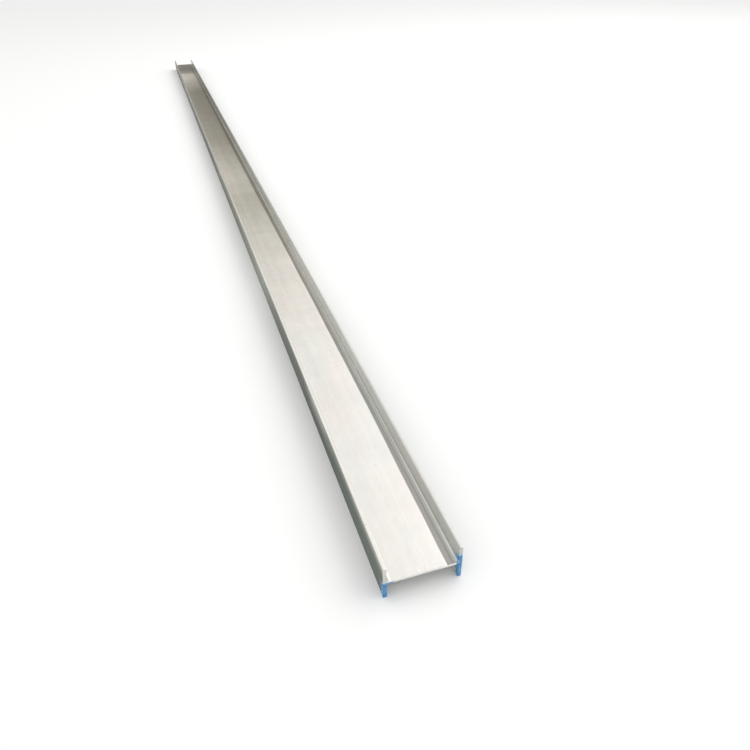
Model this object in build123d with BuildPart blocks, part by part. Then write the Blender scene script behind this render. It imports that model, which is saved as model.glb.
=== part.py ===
from build123d import *

import os

# A hot-rolled steel I-beam: one piece of stock, sawn square to a sold length.
# Millimetres. X runs across the section's depth, Y along the beam, +Z up.
# It lies with its web level and its flanges upright, on its flange toes.
# The origin is on the floor, under the middle of the beam.

# Rolled section, a narrow one with parallel flanges
SECTION_DEPTH = 150.0
FLANGE_WIDTH = 75.0
WEB_THICKNESS = 5.0
FLANGE_THICKNESS = 7.0
ROOT_RADIUS = 8.0
TOE_RADIUS = 1.0

# Stock length, and the edge left where the burr of the saw cut is dressed off
LENGTH = 6000.0
SAWN_EDGE_BREAK = 0.5

# The section is drawn on the far sawn end, about the middle of the web
mid_height = FLANGE_WIDTH / 2
far_end = Plane(origin=(0, LENGTH / 2, mid_height), x_dir=(1, 0, 0), z_dir=(0, -1, 0))
flange_centre = (SECTION_DEPTH - FLANGE_THICKNESS) / 2

# A radius can't be larger than the metal that carries it
root_room = min(FLANGE_WIDTH - WEB_THICKNESS, SECTION_DEPTH - 2 * FLANGE_THICKNESS) / 2
root_radius = min(ROOT_RADIUS, 0.9 * root_room)
toe_radius = min(TOE_RADIUS, 0.45 * FLANGE_THICKNESS)

with BuildPart() as i_beam:
    with BuildSketch(far_end) as section:
        Rectangle(2 * flange_centre, WEB_THICKNESS)
        with Locations((-flange_centre, 0), (flange_centre, 0)):
            Rectangle(FLANGE_THICKNESS, FLANGE_WIDTH)
        # The corners nearest the web's middle line are the roots, the farthest the toes
        roots = section.vertices().group_by(lambda corner: abs(corner.Y))[0]
        fillet(roots, root_radius)
        toes = section.vertices().group_by(lambda corner: abs(corner.Y))[-1]
        fillet(toes, toe_radius)
    extrude(amount=LENGTH)
    # Both saw cuts have their sharp edge broken, all round the section
    sawn_ends = i_beam.faces().filter_by(Axis.Y)
    chamfer(sawn_ends.edges(), SAWN_EDGE_BREAK)

i_beam.part.label = "i_beam"

os.makedirs("parts", exist_ok=True)
export_step(i_beam.part, "parts/i_beam.step")

metres = LENGTH / 1000
kilograms_a_metre = i_beam.part.volume / LENGTH * 7.85e-3
print(f"section {SECTION_DEPTH:g} x {FLANGE_WIDTH:g} x {WEB_THICKNESS:g} x {FLANGE_THICKNESS:g} mm")
print(f"length {metres:g} m, about {kilograms_a_metre:.1f} kg a metre")
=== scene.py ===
# %% [markdown]
# A galvanised steel i-beam
#
# The real thing is one bar of rolled steel: a flat web between two flanges. After rolling it was
# sawn to length and dipped in molten zinc. Later the lower part of one end was sprayed blue, as a
# colour mark.
#
# The steel itself comes ready made, as a fixed frame that is never moved or reshaped. This lesson
# gives it its looks: the skin of zinc, the thick zinc along the sawn edges, and the paint.

import math

import bmesh
import bpy
from mathutils import Matrix, Vector, noise


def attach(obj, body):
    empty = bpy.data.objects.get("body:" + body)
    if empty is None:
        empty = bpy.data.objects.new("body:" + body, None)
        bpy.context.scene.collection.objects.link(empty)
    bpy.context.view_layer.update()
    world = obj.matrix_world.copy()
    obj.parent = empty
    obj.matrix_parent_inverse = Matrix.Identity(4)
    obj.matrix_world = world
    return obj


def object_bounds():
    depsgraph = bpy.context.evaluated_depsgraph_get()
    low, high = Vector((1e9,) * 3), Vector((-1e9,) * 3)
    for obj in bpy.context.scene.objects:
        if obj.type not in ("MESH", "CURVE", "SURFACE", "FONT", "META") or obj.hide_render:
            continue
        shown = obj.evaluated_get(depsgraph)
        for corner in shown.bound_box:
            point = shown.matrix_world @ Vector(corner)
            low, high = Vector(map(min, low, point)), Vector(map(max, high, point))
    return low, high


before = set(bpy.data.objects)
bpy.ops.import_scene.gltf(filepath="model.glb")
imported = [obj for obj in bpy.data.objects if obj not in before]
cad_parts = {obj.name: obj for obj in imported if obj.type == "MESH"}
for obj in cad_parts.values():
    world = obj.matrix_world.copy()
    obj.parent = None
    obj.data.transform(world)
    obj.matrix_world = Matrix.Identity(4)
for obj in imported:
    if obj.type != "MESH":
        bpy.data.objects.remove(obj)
cad_low, cad_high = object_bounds()
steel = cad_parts["i_beam"]
print("lowest corner of the steel, in metres", tuple(round(v, 4) for v in cad_low))
print("highest corner of the steel, in metres", tuple(round(v, 4) for v in cad_high))

# %% [markdown]
# Sizes to work from
#
# Everything below is placed from the box of the steel and from the sizes of the rolled section.
# Blender works in metres, and steel is measured in millimetres, so one short name converts them.

# %% The section's sizes, in metres
MM = 0.001

HALF_DEPTH = (cad_high.x - cad_low.x) / 2
HALF_LENGTH = (cad_high.y - cad_low.y) / 2
HALF_HEIGHT = (cad_high.z - cad_low.z) / 2
MID_HEIGHT = (cad_high.z + cad_low.z) / 2
HALF_WEB = 2.5 * MM
FLANGE = 7 * MM
ROOT_RADIUS = 8 * MM
TOE_RADIUS = 1 * MM
EDGE_BREAK = 0.5 * MM
INNER_FACE = HALF_DEPTH - FLANGE
ROOT_START = INNER_FACE - ROOT_RADIUS
PAINTED_END = -HALF_LENGTH
PLAIN_END = HALF_LENGTH

print(f"section {2 * HALF_DEPTH / MM:.0f} by {2 * HALF_HEIGHT / MM:.0f} mm")
print(f"length {2 * HALF_LENGTH / MM:.0f} mm")

# %% [markdown]
# The camera
#
# The beam is seen from its painted end, a little from the left, and the camera looks down along
# it. A camera could be placed by eye, but a long bar shows every error, because its edges run
# together in the distance. So the place, the three angles and the lens are written as measured
# values, and the rotation is built from them one turn at a time.

# %% Place the camera
CAMERA_PLACE = Vector((-0.28844, -3.65334, 0.95762))
CAMERA_YAW = 17.476
CAMERA_PITCH = 34.738
CAMERA_ROLL = 1.0086
LENS_MM = 30.048
SENSOR_MM = 36

bpy.context.scene.view_settings.view_transform = "Standard"
camera_data = bpy.data.cameras.new("camera")
camera_data.lens = LENS_MM
camera_data.sensor_width = SENSOR_MM
camera_data.clip_start = 0.05
camera_data.clip_end = 200
camera = bpy.data.objects.new("camera", camera_data)
bpy.context.scene.collection.objects.link(camera)
bpy.context.scene.camera = camera

turn_right = Matrix.Rotation(math.radians(-CAMERA_YAW), 4, "Z")
look_down = Matrix.Rotation(math.radians(90 - CAMERA_PITCH), 4, "X")
tilt = Matrix.Rotation(math.radians(-CAMERA_ROLL), 4, "Z")
camera.matrix_world = Matrix.Translation(CAMERA_PLACE) @ turn_right @ look_down @ tilt
print(f"camera {CAMERA_PLACE.z:.2f} m up, looking {CAMERA_PITCH:.0f} degrees down")

# %% [markdown]
# Colours, nodes and scales
#
# A colour that is picked on a screen is an sRGB colour. Blender's shaders work with linear light,
# so one function converts every hex value. A second function adds a node, sets it up and links
# it, which keeps each material to one short line a node. The third gives the scale of a pattern
# from the real size of its marks, along each axis of the beam.

# %% Helpers for materials
def linear(hex_colour):
    """The linear colour, with alpha, of an sRGB hex value such as '#C0C0BA'."""
    channels = [int(hex_colour[place:place + 2], 16) / 255 for place in (1, 3, 5)]
    return (*[c / 12.92 if c <= 0.04045 else ((c + 0.055) / 1.055) ** 2.4 for c in channels], 1.0)


def add(tree, kind, settings=None, **sockets):
    """A new node of a kind. Settings are its own options, and a socket takes a value or a link."""
    new = tree.nodes.new("ShaderNode" + kind)
    for name, value in (settings or {}).items():
        setattr(new, name, value)
    for name, value in sockets.items():
        key = int(name[1:]) if name[0] == "_" else name.replace("_", " ")
        if isinstance(value, bpy.types.NodeSocket):
            tree.links.new(value, new.inputs[key])
        else:
            new.inputs[key].default_value = value
    return new


def marks(across, along, up=None):
    """The scale of a pattern whose marks have these sizes in millimetres, in X, Y and Z."""
    return (1000 / across, 1000 / along, 1000 / (up or across))


print("mid grey #808080 is", round(linear("#808080")[0], 3), "in linear light")

# %% [markdown]
# Floor, air and lamps
#
# The beam lies in a plain studio. The floor is one wide pale sheet. The air around it is a soft
# dome, white overhead and pale grey at the horizon: satin metal shows mostly what it mirrors, so
# a dome that changes with height gives a long flat web its own slow change of tone. Two wide
# lamps add soft shadows: a weak one over the beam, and a stronger one far to its right.

# %% Floor
FLOOR_HALF = 60.0
FLOOR_WHITE = "#F7F7F6"
FLOOR_ROUGHNESS = 0.9

floor_mesh = bmesh.new()
floor_corners = [(-1, -1), (1, -1), (1, 1), (-1, 1)]
floor_points = [(x * FLOOR_HALF, y * FLOOR_HALF, cad_low.z) for x, y in floor_corners]
floor_mesh.faces.new([floor_mesh.verts.new(point) for point in floor_points])
floor_data = bpy.data.meshes.new("floor")
floor_mesh.to_mesh(floor_data)
floor_mesh.free()
floor = bpy.data.objects.new("floor", floor_data)
bpy.context.scene.collection.objects.link(floor)

floor_paint = bpy.data.materials.new("matt_white_floor")
floor_paint.use_nodes = True
floor_shader = floor_paint.node_tree.nodes["Principled BSDF"]
floor_shader.inputs["Base Color"].default_value = linear(FLOOR_WHITE)
floor_shader.inputs["Roughness"].default_value = FLOOR_ROUGHNESS
floor_data.materials.append(floor_paint)
print(f"floor {2 * FLOOR_HALF:.0f} m wide")

# %% The dome of air
HORIZON = "#B9BAB6"
OVERHEAD = "#FFFFFF"
WHITE_FROM = 0.42
DOME_STRENGTH = 0.94

world = bpy.data.worlds.new("studio_dome")
bpy.context.scene.world = world
world.use_nodes = True
air = world.node_tree
air.nodes.clear()
sky = add(air, "SeparateXYZ", Vector=add(air, "TexCoord").outputs["Generated"])
rise = add(
    air, "MapRange", {"interpolation_type": "SMOOTHSTEP"}, Value=sky.outputs["Z"], From_Max=WHITE_FROM
).outputs[0]
dome = add(
    air, "Mix", {"data_type": "RGBA"}, Factor=rise, _6=linear(HORIZON), _7=linear(OVERHEAD)
).outputs[2]
glow = add(air, "Background", Color=dome, Strength=DOME_STRENGTH)
add(air, "OutputWorld", Surface=glow.outputs["Background"])
print("the dome is", HORIZON, "at the horizon and", OVERHEAD, "overhead")


# %% Two soft lamps
def soft_lamp(name, place, towards, width, length, watts):
    """A rectangular area lamp that faces a point, with its length along the beam."""
    data = bpy.data.lights.new(name, "AREA")
    data.shape = "RECTANGLE"
    data.size = length
    data.size_y = width
    data.energy = watts
    lamp = bpy.data.objects.new(name, data)
    bpy.context.scene.collection.objects.link(lamp)
    facing = (Vector(towards) - Vector(place)).normalized()
    side = Vector((0, 1, 0))
    up = facing.cross(side).normalized()
    lamp.matrix_world = Matrix.Translation(place) @ Matrix((side, up, -facing)).transposed().to_4x4()
    print(name, "faces", tuple(round(v, 2) for v in facing), "with", watts, "W")
    return lamp


LAMP_AIM = (0, -0.5, 0)
soft_lamp("lamp_overhead", place=(0.8, -0.5, 3.6), towards=LAMP_AIM, width=4.0, length=10.0, watts=20)
soft_lamp("lamp_right", place=(6.0, -1.0, 6.0), towards=LAMP_AIM, width=6.0, length=12.0, watts=220)

# %% [markdown]
# Hot-dip galvanised steel
#
# The steel shows nowhere. What shows is the zinc that it was dipped in: a metal skin a tenth of a
# millimetre thick. Fresh zinc is bright and satin, like a mirror that has been breathed on, and it
# dulls to grey where it cooled slowly or where rain stood on it. Its marks have causes and sizes:
#
# - streaks 5 mm wide and over a metre long, where the zinc drained as the beam was drawn out;
# - cloudy patches a hand wide, and bands across, where it cooled at another speed;
# - spangle, the flat crystals of the zinc, here faint and about 12 mm across;
# - pimples and specks of dross, 1 to 3 mm.
#
# Each could be a picture laid on the steel. A pattern worked out from the position on the beam
# has no seam and no end, and its scale can be set from those sizes, so every one is a noise or a
# cell pattern in metres. The material is built in steps: where, how dull, which marks, how rough.

# %% Start the zinc, and find where a point lies
galvanised = bpy.data.materials.new("hot_dip_galvanised_zinc")
galvanised.use_nodes = True
zinc = galvanised.node_tree
zinc.nodes.clear()

place = add(zinc, "TexCoord").outputs["Object"]
axes = add(zinc, "SeparateXYZ", Vector=place)
across = axes.outputs["X"]
level = add(zinc, "Math", {"operation": "SUBTRACT"}, _0=axes.outputs["Z"], _1=MID_HEIGHT).outputs[0]
from_end = add(zinc, "Math", {"operation": "SUBTRACT"}, _0=axes.outputs["Y"], _1=PAINTED_END).outputs[0]
sideways = add(zinc, "Math", {"operation": "ABSOLUTE"}, _0=across).outputs[0]
off_web = add(zinc, "Math", {"operation": "ABSOLUTE"}, _0=level).outputs[0]
off_middle = add(zinc, "Math", {"operation": "ABSOLUTE"}, _0=axes.outputs["Y"]).outputs[0]
print("distances are measured from x 0, from z", round(MID_HEIGHT, 4), "and from y", PAINTED_END)

# %% Which face it is on
# Each face's finish starts and is full at these distances from its plane, to leave no hard line
FACE_STARTS = 0.8 * MM
FACE_FULL = 0.2 * MM
ROOT_STARTS = 0.3 * MM
ROOT_FULL = 2 * MM

on_outside = add(
    zinc, "MapRange", Value=sideways, From_Min=HALF_DEPTH - FACE_STARTS, From_Max=HALF_DEPTH - FACE_FULL
).outputs[0]
on_toe = add(
    zinc, "MapRange", Value=off_web, From_Min=HALF_HEIGHT - FACE_STARTS, From_Max=HALF_HEIGHT - FACE_FULL
).outputs[0]
on_flange = add(
    zinc, "MapRange", Value=sideways, From_Min=INNER_FACE - FACE_STARTS, From_Max=INNER_FACE
).outputs[0]
above_flat = add(
    zinc, "MapRange", Value=off_web, From_Min=HALF_WEB + ROOT_STARTS, From_Max=HALF_WEB + ROOT_FULL
).outputs[0]
off_flat = add(zinc, "Math", {"operation": "MAXIMUM"}, _0=above_flat, _1=on_flange).outputs[0]
on_cut = add(
    zinc, "MapRange", Value=off_middle, From_Min=HALF_LENGTH - FACE_STARTS, From_Max=HALF_LENGTH - FACE_FULL
).outputs[0]
on_right = add(zinc, "MapRange", Value=across, From_Max=HALF_WEB).outputs[0]
print("the faces are told apart by", len(zinc.nodes), "nodes")

# %% [markdown]
# How dull the zinc is, and the painted reflection and shade along the beam
#
# The web's ramp is painted reflection and painted shade: nearly white at the painted end, darker
# along the beam, with paler stretches between, a bright stretch a little before the far end and a
# dark one after it. The outer faces of the flanges are painted dark grey-green, as painted shade,
# the insides darken past 4 m, also as painted shade, and the toes darken along the beam with the
# web. Each could have one colour and much noise, but
# then the slow changes would be left to luck. So a ramp along the beam is chosen for each
# kind of face. Inside the flanges a thin film of zinc oxide lies on the metal. The film is no
# metal, so it scatters light, and the face looks paler than what it mirrors.

# %% Colour by place
# For each kind of face, the colour at a number of metres from the painted end
TONES_WITH_PAINTED_LIGHT = {
    # Painted reflection and painted shade along the web, with a painted highlight at 5.28 m to 5.43 m and
    # painted shade at 5.7 m
    "web": {
        0.00: "#EEEBE7",
        0.50: "#F0EDE8",
        1.30: "#F0ECE6",
        2.00: "#D3CEC5",
        2.40: "#E4E0D9",
        3.20: "#B2AFA6",
        4.60: "#94918A",
        5.05: "#DCD6D2",
        5.28: "#FFFDFB",
        5.43: "#FFFDFB",
        5.52: "#AFAAA3",
        5.70: "#5E5A56",
        6.00: "#8E8A84",
    },
    # Painted shade: the insides darken from about 4 m on
    "inside": {
        0.00: "#F4F8F5",
        1.20: "#FCFCF6",
        2.60: "#FAF9F2",
        3.20: "#F4F2EA",
        4.20: "#D6D4CC",
        4.70: "#BAB8B0",
        5.10: "#B0AEA6",
        5.50: "#CCCAC2",
        6.00: "#D2D0C8",
    },
    # Painted shade: the outsides are dark grey-green all along
    "outside": {
        0.00: "#727A73",
        0.45: "#565D56",
        0.95: "#686D65",
        1.25: "#969A8D",
        1.80: "#76786B",
        3.00: "#5A584D",
        6.00: "#62635A",
    },
    # The toes darken along the beam with the web's painted reflection
    "toe": {
        0.00: "#EAE8E2",
        1.20: "#E6E3DA",
        2.40: "#CAC7BC",
        3.60: "#A19E93",
        6.00: "#8E8B82",
    },
}

along = add(zinc, "MapRange", Value=from_end, From_Min=0.0, From_Max=2 * HALF_LENGTH).outputs[0]
colour_of = {}
for face, tones in TONES_WITH_PAINTED_LIGHT.items():
    ramp = add(zinc, "ValToRGB", Fac=along)
    stops = ramp.color_ramp.elements
    while len(stops) < len(tones):
        stops.new(0.5)
    for stop, (metres, colour) in zip(stops, tones.items()):
        stop.position = metres / (2 * HALF_LENGTH)
        stop.color = linear(colour)
    colour_of[face] = ramp.outputs["Color"]
    print(face, "goes from", list(tones.values())[0], "to", list(tones.values())[-1])

# %% White bloom on the outsides, in patches a hand long
BLOOM = "#AFB3AA"
BLOOM_MM = (45, 300)
BLOOM_STARTS = 0.57
BLOOM_FULL = 0.78

bloom_place = add(zinc, "Mapping", Vector=place, Scale=marks(*BLOOM_MM)).outputs[0]
bloom_noise = add(
    zinc, "TexNoise", Vector=bloom_place, Scale=1.0, Detail=5.0, Roughness=0.65
).outputs["Fac"]
bloom = add(zinc, "MapRange", Value=bloom_noise, From_Min=BLOOM_STARTS, From_Max=BLOOM_FULL).outputs[0]
outside = add(
    zinc, "Mix", {"data_type": "RGBA"}, Factor=bloom, _6=colour_of["outside"], _7=linear(BLOOM)
).outputs[2]
print("bloom in patches of", BLOOM_MM[0], "by", BLOOM_MM[1], "mm")

# %% The outsides, painted lighter towards their upper edge
# A painted highlight, strong at the painted end, weak from half a metre on, and strong again past 2.4 m
TOP_HIGHLIGHT = "#DDE0DA"
TOP_HIGHLIGHT_FROM_LEVEL = 12 * MM
TOP_HIGHLIGHT_CURVE = 1.5
TOP_HIGHLIGHT_NOISE = (0.3, 0.65)
TOP_HIGHLIGHT_LEAST = 0.6
TOP_HIGHLIGHT_MOST = 0.95
HIGHLIGHT_NEAR_END = 1.0
HIGHLIGHT_BETWEEN = 0.3
HIGHLIGHT_FAR_ON = 0.9
NEAR_METRES = (0.1, 0.45)
FAR_METRES = (1.5, 2.4)

near_top = add(zinc, "MapRange", Value=level, From_Min=TOP_HIGHLIGHT_FROM_LEVEL, From_Max=HALF_HEIGHT).outputs[0]
near_top = add(zinc, "Math", {"operation": "POWER"}, _0=near_top, _1=TOP_HIGHLIGHT_CURVE).outputs[0]
highlight_share = add(
    zinc, "MapRange", Value=bloom_noise, From_Min=TOP_HIGHLIGHT_NOISE[0], From_Max=TOP_HIGHLIGHT_NOISE[1],
    To_Min=TOP_HIGHLIGHT_LEAST, To_Max=TOP_HIGHLIGHT_MOST,
).outputs[0]
near_end_highlight = add(
    zinc, "MapRange", Value=from_end, From_Min=NEAR_METRES[0], From_Max=NEAR_METRES[1],
    To_Min=HIGHLIGHT_NEAR_END, To_Max=HIGHLIGHT_BETWEEN,
).outputs[0]
far_highlight = add(
    zinc, "MapRange", Value=from_end, From_Min=FAR_METRES[0], From_Max=FAR_METRES[1],
    To_Min=HIGHLIGHT_BETWEEN, To_Max=HIGHLIGHT_FAR_ON,
).outputs[0]
highlight_along = add(zinc, "Math", {"operation": "MAXIMUM"}, _0=near_end_highlight, _1=far_highlight).outputs[0]
highlight_share = add(zinc, "Math", {"operation": "MULTIPLY"}, _0=highlight_share, _1=highlight_along).outputs[0]
top_highlight_mask = add(zinc, "Math", {"operation": "MULTIPLY"}, _0=near_top, _1=highlight_share).outputs[0]
outside = add(zinc, "Mix", {"data_type": "RGBA"}, Factor=top_highlight_mask, _6=outside, _7=linear(TOP_HIGHLIGHT)).outputs[2]
print("the outsides are rubbed from", TOP_HIGHLIGHT_FROM_LEVEL / MM, "mm over the web's middle")

# %% The toes and the sawn ends
# The left toe keeps its full tone over its whole width, and the right one only along its outer corner, and
# is darker inward of it
TOE_DULL = 0.6
TOE_BRIGHT_CORNER = 1.5 * TOE_RADIUS

toe_dull = add(
    zinc, "MapRange", Value=across, From_Min=HALF_DEPTH - TOE_BRIGHT_CORNER, From_Max=INNER_FACE + TOE_RADIUS
).outputs[0]
toe_dull = add(zinc, "Math", {"operation": "MULTIPLY"}, _0=toe_dull, _1=on_right).outputs[0]
toe_tone = add(zinc, "MapRange", Value=toe_dull, To_Min=1.0, To_Max=TOE_DULL).outputs[0]
toe = add(zinc, "VectorMath", {"operation": "SCALE"}, _0=colour_of["toe"], Scale=toe_tone).outputs[0]

# The sawn end of the web and its roots are rounded over by zinc. Their end is coloured near-white,
# a painted highlight that stands in for the bright line along the web's edge
CUT_FLANGE = "#D6D5D0"
CUT_WEB_HIGHLIGHT = "#FAF9F6"
cut = add(
    zinc, "Mix", {"data_type": "RGBA"}, Factor=on_flange, _6=linear(CUT_WEB_HIGHLIGHT), _7=linear(CUT_FLANGE)
).outputs[2]
print("the web's sawn end is", CUT_WEB_HIGHLIGHT, "and the flanges' ends are", CUT_FLANGE)

# %% The film of oxide, and all faces in one colour
# The film is thin at the roots, and thickest on the flat of the flange, about a metre from the
# painted end. The thicker it is, the less the face looks like metal.
CLEAN_METAL = 1.0
ROOT_METAL = 0.78
FLANGE_METAL = 0.6
FILMED_METAL = 0.2
FILM_STARTS = (0.1, 0.7)
FILM_ENDS = (1.4, 2.5)
FILM_LOW = HALF_WEB + 3 * MM
FILM_HIGH = HALF_WEB + 12 * MM

film_starts = add(
    zinc, "MapRange", Value=from_end, From_Min=FILM_STARTS[0], From_Max=FILM_STARTS[1],
    To_Min=FLANGE_METAL, To_Max=FILMED_METAL,
).outputs[0]
film_ends = add(
    zinc, "MapRange", Value=from_end, From_Min=FILM_ENDS[0], From_Max=FILM_ENDS[1],
    To_Min=FILMED_METAL, To_Max=FLANGE_METAL,
).outputs[0]
film = add(zinc, "Math", {"operation": "MAXIMUM"}, _0=film_starts, _1=film_ends).outputs[0]
filmed = add(
    zinc, "MapRange", Value=off_web, From_Min=FILM_LOW, From_Max=FILM_HIGH, To_Min=ROOT_METAL, To_Max=film
).outputs[0]

body = colour_of["web"]
metallic = CLEAN_METAL
for share, colour, bare in (
    (off_flat, colour_of["inside"], filmed),
    (on_outside, outside, CLEAN_METAL),
    (on_toe, toe, CLEAN_METAL),
    (on_cut, cut, CLEAN_METAL),
):
    body = add(zinc, "Mix", {"data_type": "RGBA"}, Factor=share, _6=body, _7=colour).outputs[2]
    metallic = add(zinc, "Mix", {"data_type": "FLOAT"}, Factor=share, _2=metallic, _3=bare).outputs[0]
print("colour and metal of every face take", len(zinc.nodes), "nodes")

# %% [markdown]
# Streaks, clouds, bands and spangle
#
# Each pattern makes one number near 1, and the colour is multiplied by all of them. Two slow
# changes of tone are added by place. The right half of the web is a little brighter than the left
# near the painted end, and duller farther on. And a dull band runs along the right root, where
# the real web mirrors the flange beside it. A plain studio gives that image too weakly, so the
# zinc's own tone carries a part of it.

# %% Tone from the patterns
# Name: size across, size along in millimetres, detail, and the lowest and highest tone it gives
PATTERNS = {
    "clouds": (90, 420, 4, 0.94, 1.04),
    "drain_streaks": (5, 1400, 3, 0.975, 1.02),
    "wide_streaks": (30, 2600, 2, 0.965, 1.03),
    "cross_bands": (700, 120, 3, 0.96, 1.03),
    "mottle": (4, 7, 4, 0.975, 1.02),
}
SPANGLE_MM = 12
SPANGLE_LONGER = 1.5
SPANGLE_TONES = (0.975, 1.02)

# Nearly all values of a noise lie between these two
NOISE_LOW = 0.3
NOISE_HIGH = 0.7

pattern = {}
tone = 1.0
for name, (wide_mm, long_mm, detail, lowest, highest) in PATTERNS.items():
    scaled = add(zinc, "Mapping", Vector=place, Scale=marks(wide_mm, long_mm)).outputs[0]
    drawn = add(zinc, "TexNoise", Vector=scaled, Scale=1.0, Detail=detail, Roughness=0.6)
    pattern[name] = drawn.outputs["Fac"]
    part = add(
        zinc, "MapRange", Value=pattern[name], From_Min=NOISE_LOW, From_Max=NOISE_HIGH,
        To_Min=lowest, To_Max=highest,
    ).outputs[0]
    tone = add(zinc, "Math", {"operation": "MULTIPLY"}, _0=tone, _1=part).outputs[0]

crystal_scale = marks(SPANGLE_MM, SPANGLE_LONGER * SPANGLE_MM)
crystals = add(zinc, "Mapping", Vector=place, Scale=crystal_scale).outputs[0]
spangle = add(zinc, "TexVoronoi", Vector=crystals, Scale=1.0).outputs["Color"]
spangle_tone = add(
    zinc, "MapRange", Value=spangle, To_Min=SPANGLE_TONES[0], To_Max=SPANGLE_TONES[1]
).outputs[0]
tone = add(zinc, "Math", {"operation": "MULTIPLY"}, _0=tone, _1=spangle_tone).outputs[0]
print(len(pattern), "noise patterns and the spangle")

# %% Stronger marks farther from the painted end, where the web is painted darker, and a breath of colour
BOLD_METRES = (0.5, 3.5)
BOLD_NEAR = 0.7
BOLD_FAR = 1.9
TINT_WARM = "#FFFDFB"
TINT_COOL = "#FBFEFD"
TINT_MM = (110, 330)
TINT_NOISE = (0.38, 0.62)

boldness = add(
    zinc, "MapRange", Value=from_end, From_Min=BOLD_METRES[0], From_Max=BOLD_METRES[1],
    To_Min=BOLD_NEAR, To_Max=BOLD_FAR,
).outputs[0]
tone = add(zinc, "Math", {"operation": "POWER"}, _0=tone, _1=boldness).outputs[0]

tint_place = add(zinc, "Mapping", Vector=place, Scale=marks(*TINT_MM)).outputs[0]
tint_noise = add(zinc, "TexNoise", Vector=tint_place, Scale=1.0, Detail=2.0).outputs["Fac"]
tint_share = add(
    zinc, "MapRange", Value=tint_noise, From_Min=TINT_NOISE[0], From_Max=TINT_NOISE[1]
).outputs[0]
tint = add(
    zinc, "Mix", {"data_type": "RGBA"}, Factor=tint_share, _6=linear(TINT_WARM), _7=linear(TINT_COOL)
).outputs[2]
print("the skin is tinted between", TINT_WARM, "and", TINT_COOL)

# %% The slow change across the web
# At the right root the tone gains or loses this much, and at the left root the other way round
SLOPE_NEAR = 0.045
SLOPE_FAR = -0.2
SLOPE_METRES = (1.4, 2.8)
SLOPE_MIDDLE = 0.97

slope = add(
    zinc, "MapRange", Value=from_end, From_Min=SLOPE_METRES[0], From_Max=SLOPE_METRES[1],
    To_Min=SLOPE_NEAR, To_Max=SLOPE_FAR,
).outputs[0]
sideness = add(zinc, "Math", {"operation": "DIVIDE"}, _0=across, _1=ROOT_START).outputs[0]
slope_tone = add(
    zinc, "Math", {"operation": "MULTIPLY_ADD"}, _0=sideness, _1=slope, _2=SLOPE_MIDDLE
).outputs[0]
print("the slope turns over between", SLOPE_METRES[0], "and", SLOPE_METRES[1], "m")

# %% Where the painted reflection band along the right root lies
# Its border wanders a little. About a metre from the painted end the whole band lies nearer to the
# flange, but it still ends at the flange's face.
BAND_WANDER = 0.8 * MM
WANDER_MM = (900, 260)
BAND_SHIFT = 4.2 * MM
SHIFT_STARTS = (0.05, 0.5)
SHIFT_ENDS = (1.2, 2.6)

wander_place = add(zinc, "Mapping", Vector=place, Scale=marks(*WANDER_MM)).outputs[0]
wander = add(zinc, "TexNoise", Vector=wander_place, Scale=1.0, Detail=2.0).outputs["Fac"]
wander = add(
    zinc, "MapRange", Value=wander, From_Min=NOISE_LOW, From_Max=NOISE_HIGH,
    To_Min=-BAND_WANDER, To_Max=BAND_WANDER,
).outputs[0]
wavy_across = add(zinc, "Math", {"operation": "ADD"}, _0=across, _1=wander).outputs[0]
shift_starts = add(
    zinc, "MapRange", Value=from_end, From_Min=SHIFT_STARTS[0], From_Max=SHIFT_STARTS[1],
    To_Min=0.0, To_Max=BAND_SHIFT,
).outputs[0]
shift_ends = add(
    zinc, "MapRange", Value=from_end, From_Min=SHIFT_ENDS[0], From_Max=SHIFT_ENDS[1],
    To_Min=BAND_SHIFT, To_Max=0.0,
).outputs[0]
shift = add(zinc, "Math", {"operation": "MINIMUM"}, _0=shift_starts, _1=shift_ends).outputs[0]
shift_left = add(
    zinc, "MapRange", Value=across, From_Min=ROOT_START, From_Max=INNER_FACE, To_Min=1.0, To_Max=0.0
).outputs[0]
shift = add(zinc, "Math", {"operation": "MULTIPLY"}, _0=shift, _1=shift_left).outputs[0]
shifted = add(zinc, "Math", {"operation": "SUBTRACT"}, _0=wavy_across, _1=shift).outputs[0]
print("the band wanders by", BAND_WANDER / MM, "mm and shifts by up to", BAND_SHIFT / MM, "mm")

# %% How dark the painted reflection band is
# Millimetres from the flange's inner face, and the tone there
# Painted reflection and painted shade: the band darkens the web where the real one mirrored the flange, and
# the root beside it
PAINTED_REFLECTION_TONES = {
    21.5: 1.0,
    20.5: 0.42,
    16.5: 0.42,
    14.5: 0.48,
    8.5: 0.5,
    7.5: 0.46,
    5.0: 0.46,
    3.8: 0.64,
    1.0: 0.85,
}
BAND_REACH = 25 * MM

band_place = add(
    zinc, "MapRange", Value=shifted, From_Min=INNER_FACE - BAND_REACH, From_Max=INNER_FACE
).outputs[0]
band = add(zinc, "ValToRGB", Fac=band_place)
stops = band.color_ramp.elements
while len(stops) < len(PAINTED_REFLECTION_TONES):
    stops.new(0.5)
for stop, (from_flange, value) in zip(stops, PAINTED_REFLECTION_TONES.items()):
    stop.position = 1 - from_flange * MM / BAND_REACH
    stop.color = (value, value, value, 1.0)
print("the band has", len(stops), "stops over", BAND_REACH / MM, "mm")

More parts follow.
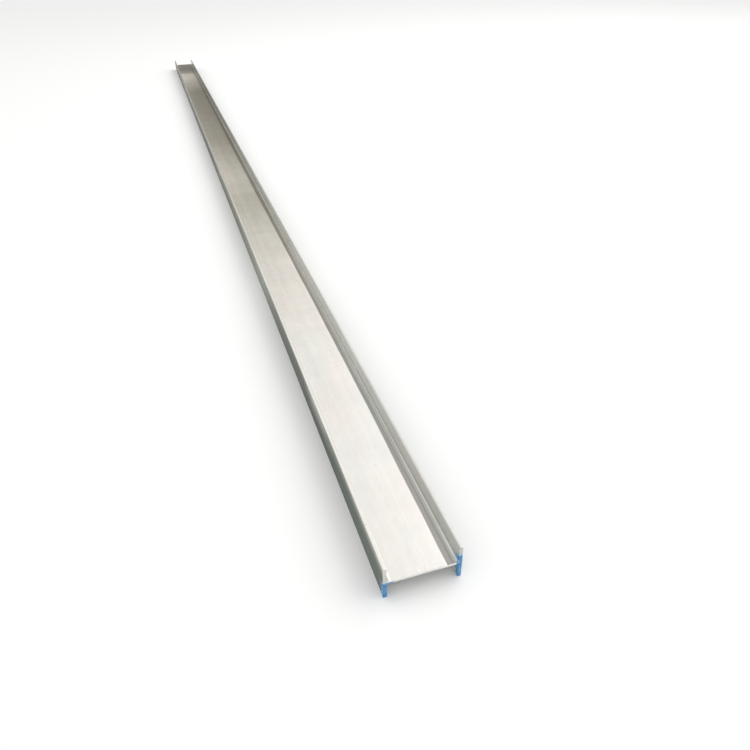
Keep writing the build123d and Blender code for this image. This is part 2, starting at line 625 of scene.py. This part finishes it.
# %% The band and the slope, put on the faces they belong to
above_web = add(zinc, "MapRange", Value=level, From_Max=HALF_WEB).outputs[0]
painted_reflection_tone = add(
    zinc, "Mix", {"data_type": "FLOAT"}, Factor=above_web, _2=1.0, _3=band.outputs["Color"]
).outputs[0]
flat_tone = add(zinc, "Math", {"operation": "MULTIPLY"}, _0=painted_reflection_tone, _1=slope_tone).outputs[0]
face_tone = add(zinc, "Mix", {"data_type": "FLOAT"}, Factor=off_flat, _2=flat_tone, _3=painted_reflection_tone).outputs[0]
tone = add(zinc, "Math", {"operation": "MULTIPLY"}, _0=tone, _1=face_tone).outputs[0]
print("the tone of every face takes", len(zinc.nodes), "nodes")

# %% [markdown]
# Specks of dross, and paint mist
#
# Dross is zinc mixed with iron, stirred up from the bottom of the bath. It leaves pimples of 1 to
# 3 mm, and here all are drawn about 3 mm wide, so that they show. Cells with a random colour pick
# which ones hold a speck, and the distance to the cell's middle draws it. Round the painted end,
# mist from the spray can settled thinly on the bare zinc.

# %% Specks
# A speck is solid out to a share of its radius, and gone at another
DROSS = "#6F6A60"
SPECK_SPACING = 26
SPECK_RADIUS = 1.5
SPECK_SOLID = 0.5
SPECK_GONE = 1.4
SPECK_DARKNESS = 0.55
CHOSEN_CELLS = (0.5, 0.62)

speck_place = add(zinc, "Mapping", Vector=place, Scale=marks(SPECK_SPACING, SPECK_SPACING)).outputs[0]
cells = add(zinc, "TexVoronoi", Vector=speck_place, Scale=1.0)
dot = add(
    zinc, "MapRange", Value=cells.outputs["Distance"], From_Min=SPECK_SOLID * SPECK_RADIUS / SPECK_SPACING,
    From_Max=SPECK_GONE * SPECK_RADIUS / SPECK_SPACING, To_Min=1.0, To_Max=0.0,
).outputs[0]
chosen = add(
    zinc, "MapRange", Value=cells.outputs["Color"], From_Min=CHOSEN_CELLS[0], From_Max=CHOSEN_CELLS[1]
).outputs[0]
specks = add(zinc, "Math", {"operation": "MULTIPLY"}, _0=dot, _1=chosen).outputs[0]
print("specks about", 2 * SPECK_RADIUS, "mm wide, in some of the cells of", SPECK_SPACING, "mm")

# %% Mist
# It reaches back from the painted end, on the flanges only, and up to a level over the web's middle
MIST = "#5E9FC8"
MIST_REACH = 28 * MM
MIST_OUTSIDE = 0.9
MIST_INSIDE = 0.4
MIST_TOP_LEFT = 3 * MM
MIST_TOP_RIGHT = 32 * MM
MIST_TOP_FADE = 13 * MM
MIST_NOISE = (0.35, 0.55)

mist_back = add(zinc, "MapRange", Value=from_end, From_Max=MIST_REACH, To_Min=1.0, To_Max=0.0).outputs[0]
mist_side = add(zinc, "MapRange", Value=sideways, From_Min=ROOT_START, From_Max=INNER_FACE).outputs[0]
mist_top = add(zinc, "MapRange", Value=on_right, To_Min=MIST_TOP_LEFT, To_Max=MIST_TOP_RIGHT).outputs[0]
below_top = add(zinc, "Math", {"operation": "SUBTRACT"}, _0=mist_top, _1=level).outputs[0]
mist_low = add(zinc, "MapRange", Value=below_top, From_Max=MIST_TOP_FADE).outputs[0]
mist_grain = add(
    zinc, "MapRange", Value=pattern["mottle"], From_Min=MIST_NOISE[0], From_Max=MIST_NOISE[1]
).outputs[0]
mist_cover = add(zinc, "MapRange", Value=on_outside, To_Min=MIST_INSIDE, To_Max=MIST_OUTSIDE).outputs[0]
mist = mist_grain
for part in (mist_back, mist_side, mist_low, mist_cover):
    mist = add(zinc, "Math", {"operation": "MULTIPLY"}, _0=mist, _1=part).outputs[0]
print("mist reaches", MIST_REACH / MM, "mm back")

# %% The finished colour
tinted = add(zinc, "VectorMath", {"operation": "MULTIPLY"}, _0=body, _1=tint).outputs[0]
toned = add(zinc, "VectorMath", {"operation": "SCALE"}, _0=tinted, Scale=tone).outputs[0]
speck_share = add(zinc, "Math", {"operation": "MULTIPLY"}, _0=specks, _1=SPECK_DARKNESS).outputs[0]
dotted = add(zinc, "Mix", {"data_type": "RGBA"}, Factor=speck_share, _6=toned, _7=linear(DROSS)).outputs[2]
coloured = add(zinc, "Mix", {"data_type": "RGBA"}, Factor=mist, _6=dotted, _7=linear(MIST)).outputs[2]
print("the colour is worked out by", len(zinc.nodes), "nodes")

# %% [markdown]
# Gloss and relief
#
# Satin zinc has a roughness near 0.2, and weathered zinc about 0.45. The relief is in real
# millimetres too: slow waves a tenth of a millimetre high, drain streaks, grain and pimples. A
# dusty web doesn't whiten at a flat look, as clean metal does, so its edge tint is a warm grey.
# The upright flanges hold no dust, and keep the white edge of clean metal.

# %% Gloss and relief
ROUGH_BRIGHT = 0.17
ROUGH_CLOUDED = 0.27
ROUGH_WEATHERED = 0.46
WAVE_MM = (18, 45)
WAVE_HEIGHT = 0.08 * MM
STREAK_HEIGHT = 0.02 * MM
GRAIN_HEIGHT = 0.02 * MM
PIMPLE_HEIGHT = 0.15 * MM
DUSTY_EDGE = "#DDD9D0"
CLEAN_EDGE = "#FFFFFF"

gloss = add(
    zinc, "MapRange", Value=pattern["clouds"], From_Min=NOISE_LOW, From_Max=NOISE_HIGH,
    To_Min=ROUGH_CLOUDED, To_Max=ROUGH_BRIGHT,
).outputs[0]
roughness = add(
    zinc, "Mix", {"data_type": "FLOAT"}, Factor=on_outside, _2=gloss, _3=ROUGH_WEATHERED
).outputs[0]

wave_place = add(zinc, "Mapping", Vector=place, Scale=marks(*WAVE_MM)).outputs[0]
waves = add(zinc, "TexNoise", Vector=wave_place, Scale=1.0, Detail=2.0).outputs["Fac"]
relief = None
for height, distance in (
    (waves, WAVE_HEIGHT),
    (pattern["drain_streaks"], STREAK_HEIGHT),
    (pattern["mottle"], GRAIN_HEIGHT),
    (specks, PIMPLE_HEIGHT),
):
    bump = add(zinc, "Bump", Strength=1.0, Distance=distance, Height=height)
    if relief is not None:
        zinc.links.new(relief, bump.inputs["Normal"])
    relief = bump.outputs[0]

edge_tint = add(
    zinc, "Mix", {"data_type": "RGBA"}, Factor=off_flat, _6=linear(DUSTY_EDGE), _7=linear(CLEAN_EDGE)
).outputs[2]
metal = add(
    zinc, "BsdfPrincipled", Base_Color=coloured, Roughness=roughness, Metallic=metallic,
    Specular_Tint=edge_tint, Normal=relief,
)
add(zinc, "OutputMaterial", Surface=metal.outputs[0])
steel.data.materials.clear()
steel.data.materials.append(galvanised)
print(galvanised.name, "has", len(zinc.nodes), "nodes")

# %% [markdown]
# A skin that wraps the sawn ends
#
# Two finishes sit on the sawn ends with a thickness that can be felt: zinc, which gathers along
# every cut edge as the beam drains, and paint. Both could be painted flat onto the steel, but
# then nothing would catch the light at the edge. So one function makes a thin mesh that follows
# the section's whole outline, over the face of the cut and a little way back along the beam, and
# a height in millimetres lifts each of its points. Where the height falls below zero the mesh
# dips into the steel and is taken away, so the finish ends in a natural ragged line.
#
# The outline is worked out for a quarter of the section and mirrored. Each point on it also knows
# the middle of its plate, which is where the two sides of the skin meet on the cut face.

# %% The outline of a quarter of the section
OUTLINE_STEP = 1.0 * MM
ROOT_STEPS = 8
TOE_STEPS = 4
TOE_HEIGHT = HALF_HEIGHT - TOE_RADIUS
ROOT_HEIGHT = HALF_WEB + ROOT_RADIUS
PLATE_MIDDLE = HALF_DEPTH - FLANGE / 2


def straight(start, end, normal, steps=None):
    """Points from start to end on a flat stretch, at most one step apart, each with its normal."""
    steps = steps or math.ceil((Vector(end) - Vector(start)).length / OUTLINE_STEP)
    return [(Vector(start).lerp(Vector(end), step / steps), Vector(normal)) for step in range(steps)]


def quarter_outline():
    """Points with their outward normals, from the web's middle to the flange's middle."""
    points = straight((0, HALF_WEB), (ROOT_START, HALF_WEB), (0, 1))
    for step in range(ROOT_STEPS):
        angle = math.pi / 2 * step / ROOT_STEPS
        normal = Vector((-math.sin(angle), math.cos(angle)))
        points.append((Vector((ROOT_START, ROOT_HEIGHT)) - ROOT_RADIUS * normal, normal))
    points += straight((INNER_FACE, ROOT_HEIGHT), (INNER_FACE, TOE_HEIGHT), (-1, 0))
    for centre_x, first in ((INNER_FACE + TOE_RADIUS, math.pi), (HALF_DEPTH - TOE_RADIUS, math.pi / 2)):
        for step in range(TOE_STEPS):
            angle = first - math.pi / 2 * step / TOE_STEPS
            normal = Vector((math.cos(angle), math.sin(angle)))
            points.append((Vector((centre_x, TOE_HEIGHT)) + TOE_RADIUS * normal, normal))
    points += straight((HALF_DEPTH, TOE_HEIGHT), (HALF_DEPTH, ROOT_HEIGHT), (1, 0))
    points += straight((HALF_DEPTH, ROOT_HEIGHT), (HALF_DEPTH, 0), (1, 0), steps=ROOT_STEPS // 2)
    points.append((Vector((HALF_DEPTH, 0)), Vector((1, 0))))
    return points


# %% The plate middles, and the whole outline
def plate_middle(point, normal):
    """The middle of the plate that a point of the outline belongs to."""
    if point.x <= ROOT_START:
        return Vector((point.x, 0))
    if point.y < ROOT_HEIGHT and point.x < INNER_FACE:
        turn = math.atan2(-normal.x, normal.y) / (math.pi / 4)
        along_web = Vector((ROOT_START + (PLATE_MIDDLE - ROOT_START) * min(turn, 1), 0))
        return along_web + Vector((0, ROOT_HEIGHT * max(turn - 1, 0)))
    return Vector((PLATE_MIDDLE, min(point.y, HALF_HEIGHT - FLANGE / 2)))


def whole_outline():
    """The closed outline: points, normals and plate middles, from the quarter and its mirrors."""
    quarter = [(point, normal, plate_middle(point, normal)) for point, normal in quarter_outline()]
    outline = []
    for mirror_x, mirror_z in ((1, 1), (1, -1), (-1, -1), (-1, 1)):
        flip = Matrix.Diagonal((mirror_x, mirror_z))
        turned = [tuple(flip @ v for v in entry) for entry in quarter]
        if mirror_x * mirror_z < 0:
            turned.reverse()
        outline += turned[:-1]
    return outline


OUTLINE = whole_outline()
print(len(OUTLINE), "points round the section")

# %% The rows of the skin
FACE_SHARES = (1.0, 0.75, 0.5, 0.25, 0.0)
EDGE_SHARE = 0.5
FIRST_STEP = 0.3 * MM
STEP_GROWTH = 1.25
LONGEST_STEP = 1.5 * MM

# Which way a point is lifted: so much out from the section, and so much along the beam. Round
# the broken edge the lift turns from the one to the other in steps of 22.5 degrees.
LIFT_ON_FACE = Vector((0, -1))
LIFT_AT_FACE_RIM = Vector((0.38, -0.92))
LIFT_ON_EDGE = Vector((0.71, -0.71))
LIFT_AT_SIDE_RIM = Vector((0.92, -0.38))
LIFT_ON_SIDE = Vector((1, 0))


def skin_rows(reach):
    """How far each row of the skin is set in on the cut face, or back along the beam."""
    rows = [("face", share) for share in FACE_SHARES] + [("edge", EDGE_SHARE)]
    back = EDGE_BREAK
    step = FIRST_STEP
    while back < reach:
        rows.append(("side", back))
        back += step
        step = min(step * STEP_GROWTH, LONGEST_STEP)
    return rows


def skin_point(on_outline, row, end):
    """Where a point of the skin lies on the steel, its way up, and its distances edge and run.

    edge is how far the point lies from the outline of the section, across the cut face or back
    along the beam, and run is only how far back it lies, both in metres.
    """
    point, normal, middle = on_outline
    kind, value = row
    inner = point - normal * EDGE_BREAK
    if kind == "face":
        at = inner.lerp(middle, value)
        lift = LIFT_ON_FACE if value else LIFT_AT_FACE_RIM
        edge, run = (at - point).length, 0.0
    elif kind == "edge":
        at = inner.lerp(point, value)
        lift = LIFT_ON_EDGE
        edge, run = 0.0, EDGE_BREAK * value
    else:
        at = point
        lift = LIFT_ON_SIDE if value > EDGE_BREAK else LIFT_AT_SIDE_RIM
        edge, run = value, value
    towards = 1 if end < 0 else -1
    spot = Vector((at.x, end + towards * run, MID_HEIGHT + at.y))
    outward = Vector((normal.x * lift.x, towards * lift.y, normal.y * lift.x))
    return spot, outward, edge, run


print(len(skin_rows(10 * MM)), "rows in a skin that reaches 10 mm back")

# %% The mesh of the skin
SKIN_DEPTH = 0.4 * MM
SUNK = -0.05
SAME_POINT = 0.02 * MM


def lay_skin(mesh, lifts, outwards, end, reach, height):
    """Lay the open sheet of the skin, without the parts that are sunk in the steel."""
    rows = skin_rows(reach)
    grid = []
    for on_outline in OUTLINE:
        column = []
        for row in rows:
            spot, outward, edge, run = skin_point(on_outline, row, end)
            lift = height(spot, edge, run)
            vert = mesh.verts.new(spot + outward * lift * MM)
            vert[lifts] = lift
            vert[outwards] = outward
            column.append(vert)
        grid.append(column)
    for number, column in enumerate(grid):
        following = grid[(number + 1) % len(grid)]
        for row in range(len(rows) - 1):
            quad = (column[row], column[row + 1], following[row + 1], following[row])
            if max(v[lifts] for v in quad) > SUNK:
                mesh.faces.new(quad if end < 0 else reversed(quad))
    loose = [v for v in mesh.verts if not v.link_faces]
    bmesh.ops.delete(mesh, geom=loose, context="VERTS")
    bmesh.ops.remove_doubles(mesh, verts=mesh.verts, dist=SAME_POINT)


def close_skin(mesh, lifts, outwards):
    """Give the open sheet an underside that lies in the steel, and close its border."""
    under = {}
    for vert in list(mesh.verts):
        under[vert] = mesh.verts.new(vert.co - vert[outwards] * (vert[lifts] * MM + SKIN_DEPTH))
        under[vert][lifts] = vert[lifts]
    border = [edge.link_loops[0] for edge in mesh.edges if edge.is_boundary]
    border = [(loop.vert, loop.link_loop_next.vert) for loop in border]
    for face in list(mesh.faces):
        mesh.faces.new([under[vert] for vert in reversed(face.verts)])
    for start, finish in border:
        mesh.faces.new((finish, start, under[start], under[finish]))
    bmesh.ops.recalc_face_normals(mesh, faces=mesh.faces)


def end_skin(name, end, reach, height):
    """A thin closed mesh round one sawn end. height(spot, edge, run) gives millimetres of finish."""
    mesh = bmesh.new()
    lifts = mesh.verts.layers.float.new("lift")
    outwards = mesh.verts.layers.float_vector.new("outwards")
    lay_skin(mesh, lifts, outwards, end, reach, height)
    close_skin(mesh, lifts, outwards)
    open_edges = sum(edge.is_boundary for edge in mesh.edges)
    touching = sum(len(edge.link_faces) > 2 for edge in mesh.edges)
    data = bpy.data.meshes.new(name)
    mesh.to_mesh(data)
    mesh.free()
    for face in data.polygons:
        face.use_smooth = True
    piece = bpy.data.objects.new(name, data)
    bpy.context.scene.collection.objects.link(piece)
    print(name, len(data.vertices), "points", len(data.polygons), "faces", open_edges, "open edges")
    print("edges where two lobes of its ragged border touch:", touching)
    return piece


# %% [markdown]
# Zinc along the cut
#
# Molten zinc clings to edges. It leaves a bead all round the cut, thicker where the beam drained
# last, with lumps where a drop froze, and a few short runs that start at the edge and fade back
# along the plates. The height is a sum of those three, each from its real size.

# %% A bead, lumps and runs, all sizes in millimetres
BEAD_WIDTH = 1.6
BEAD_HEIGHT = 0.6
BEAD_MEAN = 0.55
BEAD_SWELL = 0.6
BEAD_SWELL_MM = 9
BEAD_RIPPLE = 0.35
BEAD_RIPPLE_MM = 3
BEAD_LEAST = 0.12
LUMP_SPACING = 24.0
LUMP_RADIUS = 1.5
LUMP_HEIGHT = 0.6
RUN_SPACING = 17.0
RUN_HEIGHT = 0.3
RUN_FEWER = 0.18
RUN_STRONGER = 1.6
RUN_SHORTEST = 8
RUN_LONGER = 55
RUN_LENGTH_MEAN = 0.4
RUN_LENGTH_MM = 8
RUN_FADE = 0.7


def spread(spot, size_mm, seed=0.0):
    """Smooth noise from -1 to 1 whose marks are size_mm wide."""
    return noise.noise(spot * (1000 / size_mm) + Vector((seed, seed * 1.7, seed * 2.3)))


def bead_height(spot, edge):
    """A bead along the edge of the cut, thicker and thinner by turns."""
    swell = BEAD_SWELL * spread(spot, BEAD_SWELL_MM, seed=3.1)
    ripple = BEAD_RIPPLE * spread(spot, BEAD_RIPPLE_MM, seed=7.7)
    uneven = max(BEAD_MEAN + swell + ripple, BEAD_LEAST)
    return BEAD_HEIGHT * uneven * math.exp(-((edge / MM / BEAD_WIDTH) ** 2))


def lump_height(spot, run):
    """Frozen drops, round as the cap of a ball, here and there along the edge."""
    at_edge = Vector((spot.x, spot.y - run if spot.y < 0 else spot.y + run, spot.z))
    lump_middle = noise.voronoi(at_edge * (1000 / LUMP_SPACING))[1][0] * (LUMP_SPACING * MM)
    off = ((spot - lump_middle) / MM).length / LUMP_RADIUS
    return LUMP_HEIGHT * max(0.0, 1 - off ** 2) ** 0.5


def run_height(spot, run):
    """Short runs that start at the edge and fade back along the plates, each in its own lane."""
    lane = Vector((spot.x, 0, spot.z))
    strength = max(0.0, spread(lane, RUN_SPACING / 2, seed=12.5) - RUN_FEWER) * RUN_STRONGER
    longer = max(0.0, RUN_LENGTH_MEAN + spread(lane, RUN_LENGTH_MM, seed=21.0))
    length = (RUN_SHORTEST + RUN_LONGER * longer) * MM
    return RUN_HEIGHT * strength * max(0.0, 1 - run / length) ** RUN_FADE


# %% The zinc at both ends
# Between the beads, lumps and runs the skin lies just under the steel, and its grain stays faint
ZINC_REACH = 70 * MM
ZINC_SINK = 0.045
ZINC_GRAIN = 0.02
ZINC_GRAIN_MM = 1.6


def zinc_height(spot, edge, run):
    """Millimetres of zinc above the rolled skin, near a sawn end."""
    thick = bead_height(spot, edge) + lump_height(spot, run) + run_height(spot, run)
    return thick - ZINC_SINK + ZINC_GRAIN * spread(spot, ZINC_GRAIN_MM, seed=5.5)


for zinc_name, zinc_end in (("zinc_at_painted_end", PAINTED_END), ("zinc_at_plain_end", PLAIN_END)):
    bead = end_skin(zinc_name, zinc_end, ZINC_REACH, zinc_height)
    bead.data.materials.append(galvanised)
    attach(bead, "root")

# %% [markdown]
# Blue marking paint
#
# The paint is a quick coat of enamel from a spray can, held level with the lower half of the end.
# On the left flange it starts at the web, and on the right one about halfway between the web and
# the upper toe. It wraps a few millimetres round the corners, and thins out over the web's end.
# It could be one flat patch, but a spray has a wet middle, a dry dusty border and chips where the
# beam was knocked.

# %% How far the paint reaches, all sizes in millimetres
# For each flange: how high the paint starts over the web's middle, how ragged and how soft that
# border is, and how far the paint goes over the web's end
PAINT_SIDES = {
    "left": {"top": 0.5, "ragged": 0.8, "soft": 2, "over_web": 11},
    "right": {"top": 20.5, "ragged": 3.5, "soft": 7, "over_web": 4},
}
TOP_RAGGED_MM = 7
WEB_STARTS = 1
WEB_SOFT = 6
WEB_RAGGED = 4
WEB_RAGGED_MM = 8
WRAP_OUTSIDE = 5
WRAP_INSIDE = 9
WRAP_SOFT = 5
WRAP_RAGGED = 3.5
WRAP_RAGGED_MM = 6
WRAP_FRAYED = 1.6
WRAP_FRAYED_MM = 2.5
OUTSIDE_SKIN = 0.4
CHIP_MM = 3.2
CHIP_FROM = 0.5
CHIP_DEPTH = 14


def paint_wrap(spot, in_web):
    """How far the paint wraps back along the beam at this place on the section."""
    if in_web > WEB_STARTS and spot.z > MID_HEIGHT:
        return 0
    return WRAP_OUTSIDE if abs(spot.x) > HALF_DEPTH - OUTSIDE_SKIN * MM else WRAP_INSIDE


def paint_cover(spot, run):
    """How well the paint covers, from below 0 where there is none, to 1 where it is wet."""
    side = PAINT_SIDES["left" if spot.x < 0 else "right"]
    in_web = (INNER_FACE - abs(spot.x)) / MM
    ragged_top = side["ragged"] * spread(spot, TOP_RAGGED_MM, seed=31.0)
    below = side["top"] - (spot.z - MID_HEIGHT) / MM + ragged_top
    aside = side["over_web"] - in_web + WEB_RAGGED * spread(spot, WEB_RAGGED_MM, seed=17.0)
    lane = Vector((spot.x, 0, spot.z))
    ragged_wrap = WRAP_RAGGED * spread(lane, WRAP_RAGGED_MM, seed=41.0)
    frayed_wrap = WRAP_FRAYED * spread(spot, WRAP_FRAYED_MM, seed=43.0)
    back = paint_wrap(spot, in_web) - run / MM + ragged_wrap + frayed_wrap
    cover = min(below / side["soft"], aside / WEB_SOFT, back / WRAP_SOFT, 1.0)
    chipped = max(0.0, spread(spot, CHIP_MM, seed=51.0) - CHIP_FROM)
    return cover - chipped * CHIP_DEPTH


lower_toe = Vector((-PLATE_MIDDLE, PAINTED_END, cad_low.z))
print("on the left flange's lower toe the paint covers", round(paint_cover(lower_toe, 0), 2))

# %% The paint's own skin
PAINT_REACH = 26 * MM
PAINT_FILM = 0.16
FILM_MEAN = 0.75
FILM_SWELL = 0.25
FILM_SWELL_MM = 4
PAINT_LEAST = 0.02
PAINT_GONE = -0.4
IN_THE_STEEL = -0.3


def paint_height(spot, edge, run):
    """Millimetres of paint above the rolled skin, with the zinc that lies under it."""
    cover = paint_cover(spot, run)
    if cover < PAINT_GONE:
        return IN_THE_STEEL
    film_mm = PAINT_FILM * (FILM_MEAN + FILM_SWELL * spread(spot, FILM_SWELL_MM, seed=61.0))
    return max(zinc_height(spot, edge, run), 0.0) + min(cover, 1.0) * film_mm + PAINT_LEAST


paint = end_skin("blue_marking_paint", PAINTED_END, PAINT_REACH, paint_height)

# %% [markdown]
# Spray enamel
#
# Enamel from a can is a satin plastic skin, so it isn't metallic and keeps the usual IOR. Where it
# is thin the pale zinc shows through and the spray dries dusty, and where it is wet it is deeper
# and smoother. It could be one blue, but the skin's own lift says how thick the coat is at each
# place, so the colour follows it. A real coat also clouds over about a centimetre, and has a fine
# orange peel, a millimetre or two wide.

# %% The paint's material
PAINT_WET = "#4189BC"
PAINT_THIN = "#8FBFD3"
PAINT_DEEP = "#2C74B2"
THIN_LIFT = 0.02
WET_LIFT = 0.17
CLOUD_MM = 9
PEEL_MM = 1.6
PEEL_HEIGHT = 0.06 * MM
DEEP_NOISE = (0.45, 0.7)
DUST_NOISE = (0.56, 0.78)
DUST_MOST = 0.7
ROUGH_WET = 0.3
ROUGH_DUSTY = 0.5


def spray_enamel(name):
    """Blue enamel from a spray can: a satin skin, paler where it is thin and dusty."""
    material = bpy.data.materials.new(name)
    material.use_nodes = True
    tree = material.node_tree
    tree.nodes.clear()
    place = add(tree, "TexCoord").outputs["Object"]
    cloud_place = add(tree, "Mapping", Vector=place, Scale=marks(CLOUD_MM, CLOUD_MM)).outputs[0]
    clouds = add(tree, "TexNoise", Vector=cloud_place, Scale=1.0, Detail=4.0, Roughness=0.6).outputs["Fac"]
    peel_place = add(tree, "Mapping", Vector=place, Scale=marks(PEEL_MM, PEEL_MM)).outputs[0]
    peel = add(tree, "TexNoise", Vector=peel_place, Scale=1.0, Detail=3.0, Roughness=0.7).outputs["Fac"]

    lift = add(tree, "Attribute", {"attribute_name": "lift"}).outputs["Fac"]
    thick = add(tree, "MapRange", Value=lift, From_Min=THIN_LIFT, From_Max=WET_LIFT).outputs[0]
    deep = add(tree, "MapRange", Value=clouds, From_Min=DEEP_NOISE[0], From_Max=DEEP_NOISE[1]).outputs[0]
    dust = add(
        tree, "MapRange", Value=peel, From_Min=DUST_NOISE[0], From_Max=DUST_NOISE[1], To_Max=DUST_MOST
    ).outputs[0]
    blue = linear(PAINT_THIN)
    for share, colour in ((thick, PAINT_WET), (deep, PAINT_DEEP), (dust, PAINT_THIN)):
        blue = add(tree, "Mix", {"data_type": "RGBA"}, Factor=share, _6=blue, _7=linear(colour)).outputs[2]

    rough = add(
        tree, "MapRange", Value=clouds, From_Min=NOISE_LOW, From_Max=NOISE_HIGH,
        To_Min=ROUGH_WET, To_Max=ROUGH_DUSTY,
    ).outputs[0]
    relief = add(tree, "Bump", Strength=1.0, Distance=PEEL_HEIGHT, Height=peel).outputs[0]
    shader = add(tree, "BsdfPrincipled", Base_Color=blue, Roughness=rough, Normal=relief)
    add(tree, "OutputMaterial", Surface=shader.outputs[0])
    print(name, "has", len(tree.nodes), "nodes")
    return material


paint.data.materials.append(spray_enamel("blue_spray_enamel"))
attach(paint, "root")
